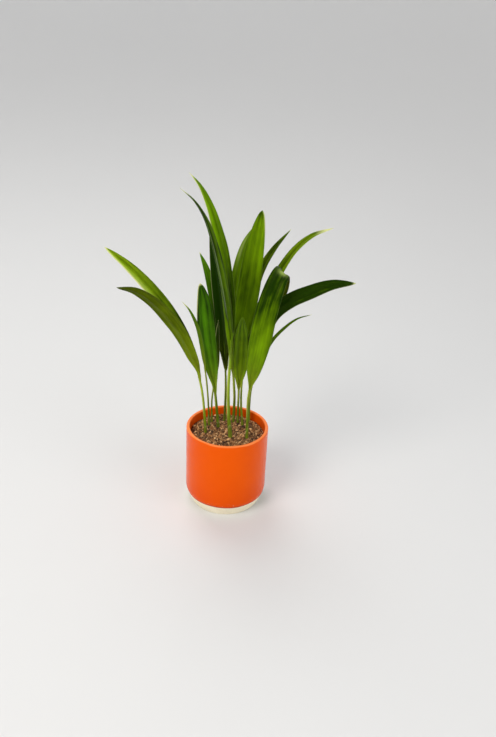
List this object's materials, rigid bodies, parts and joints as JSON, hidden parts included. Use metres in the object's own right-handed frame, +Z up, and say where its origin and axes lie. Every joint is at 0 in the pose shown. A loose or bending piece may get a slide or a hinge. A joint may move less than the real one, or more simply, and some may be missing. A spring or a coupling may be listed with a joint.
{
  "type": "potted palm seedlings",
  "caption": "Small potted areca palm: young palm seedlings with long pleated strap leaves, standing in potting mix in a round glazed cup pot.",
  "frame": {"origin": "centre of the pot's flat foot, on the surface that the pot stands on", "axes": "+Z up along the pot's axis; the front of the plant looks towards -Y; +X to the right as seen from the front"},
  "size_m": [0.1727, 0.0775, 0.2378],
  "materials": {
    "orange_glaze": "gloss",
    "potting_mix": "matte",
    "leafy_stem_01_green": "satin",
    "leafy_stem_02_green": "satin",
    "leafy_stem_03_green": "satin",
    "leafy_stem_04_green": "satin",
    "leafy_stem_05_green": "satin",
    "leafy_stem_06_green": "satin",
    "leafy_stem_07_green": "satin",
    "leafy_stem_08_green": "satin",
    "leafy_stem_09_green": "satin",
    "leafy_stem_10_green": "satin",
    "leafy_stem_11_green": "satin"
  },
  "bodies": {
    "root": {"pot": "orange_glaze", "soil": "potting_mix", "leafy_stem_01": "leafy_stem_01_green", "leafy_stem_02": "leafy_stem_02_green", "leafy_stem_03": "leafy_stem_03_green", "leafy_stem_04": "leafy_stem_04_green", "leafy_stem_05": "leafy_stem_05_green", "leafy_stem_06": "leafy_stem_06_green", "leafy_stem_07": "leafy_stem_07_green", "leafy_stem_08": "leafy_stem_08_green", "leafy_stem_09": "leafy_stem_09_green", "leafy_stem_10": "leafy_stem_10_green", "leafy_stem_11": "leafy_stem_11_green"}
  },
  "joints": []
}
